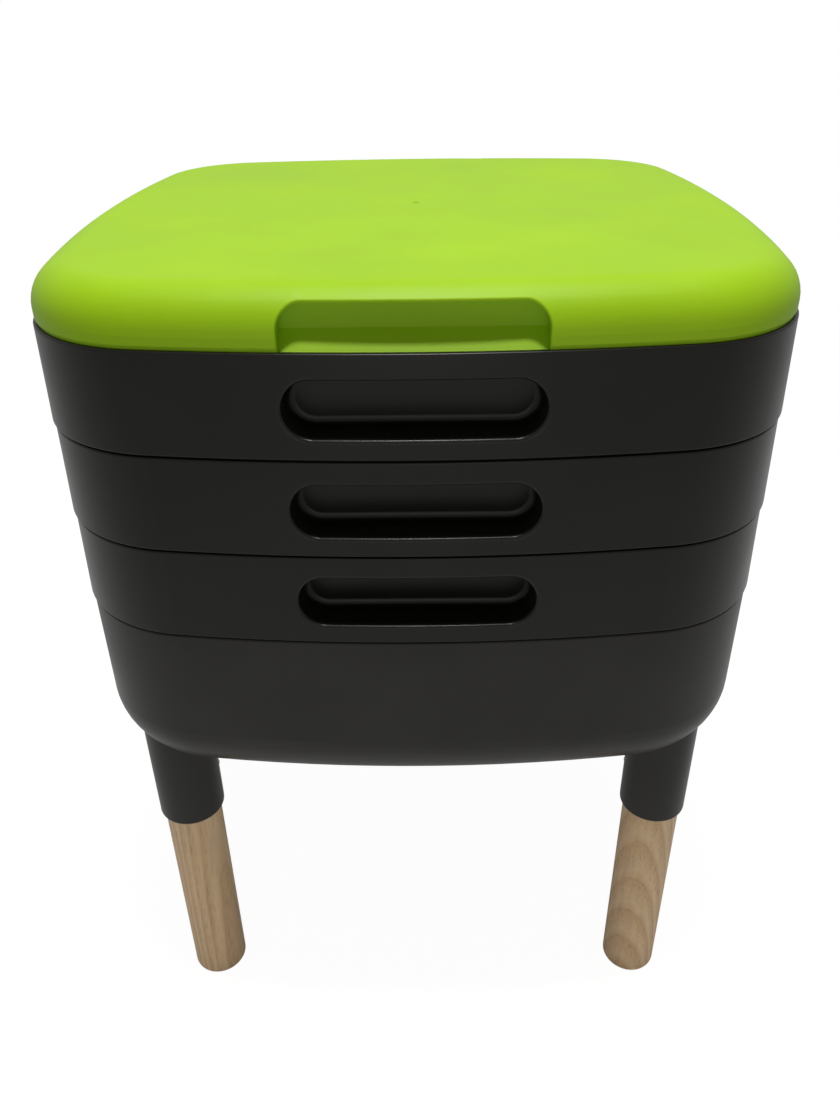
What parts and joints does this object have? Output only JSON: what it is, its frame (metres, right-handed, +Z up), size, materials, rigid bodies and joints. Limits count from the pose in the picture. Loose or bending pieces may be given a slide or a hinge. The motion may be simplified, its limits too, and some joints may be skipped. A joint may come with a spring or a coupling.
{
  "type": "wormery",
  "caption": "Square worm composter with rounded sides: stacked perforated trays under a lift-off lid, on a sump with a drain tap, standing on round wooden legs.",
  "frame": {"origin": "on the floor, midway between the four legs, under the centre of the lid", "axes": "+Z up; the front, seen in the picture, faces -Y; the tap is at the back, towards +Y"},
  "size_m": [0.3938, 0.3938, 0.492],
  "materials": {
    "lid_plastic": "satin, smooth moulded polypropylene",
    "tray_plastic": "satin, finely textured moulded polypropylene",
    "leg_wood": "planed, clear oiled",
    "screw_steel": "zinc plated",
    "ladder_plastic": "matt moulded polypropylene",
    "tap_plastic": "satin moulded polypropylene",
    "plug_plastic": "smooth acetal",
    "lever_plastic": "satin moulded nylon",
    "seal_rubber": "matt"
  },
  "bodies": {
    "base": {"sump": "tray_plastic", "leg_front_left": "leg_wood", "leg_front_right": "leg_wood", "leg_rear_left": "leg_wood", "leg_rear_right": "leg_wood", "leg_screws": "screw_steel", "worm_ladder": "ladder_plastic", "tap_body": "tap_plastic", "tap_bonnet": "tap_plastic", "tap_nut": "tap_plastic", "tap_washer_outer": "seal_rubber", "tap_washer_inner": "seal_rubber"},
    "bottom_tray": {"tray_bottom": "tray_plastic"},
    "middle_tray": {"tray_middle": "tray_plastic"},
    "top_tray": {"tray_top": "tray_plastic"},
    "cover": {"lid": "lid_plastic"},
    "tap_handle": {"tap_plug": "plug_plastic", "tap_plug_seal": "seal_rubber", "tap_lever": "lever_plastic", "tap_lever_screw": "screw_steel"}
  },
  "joints": [
    {"name": "tray_bottom_lift", "type": "slide", "parent": "base", "child": "bottom_tray", "axis": [0, 0, 1], "range_m": [0, 0.08]},
    {"name": "tray_middle_lift", "type": "slide", "parent": "bottom_tray", "child": "middle_tray", "axis": [0, 0, 1], "range_m": [0, 0.08]},
    {"name": "tray_top_lift", "type": "slide", "parent": "middle_tray", "child": "top_tray", "axis": [0, 0, 1], "range_m": [0, 0.08]},
    {"name": "lid_lift", "type": "slide", "parent": "top_tray", "child": "cover", "axis": [0, 0, 1], "range_m": [0, 0.12]},
    {"name": "tap_turn", "type": "hinge", "parent": "base", "child": "tap_handle", "pos_m": [0, 0.18, 0.222], "axis": [0, 0, 1], "range_deg": [0, 90]}
  ]
}
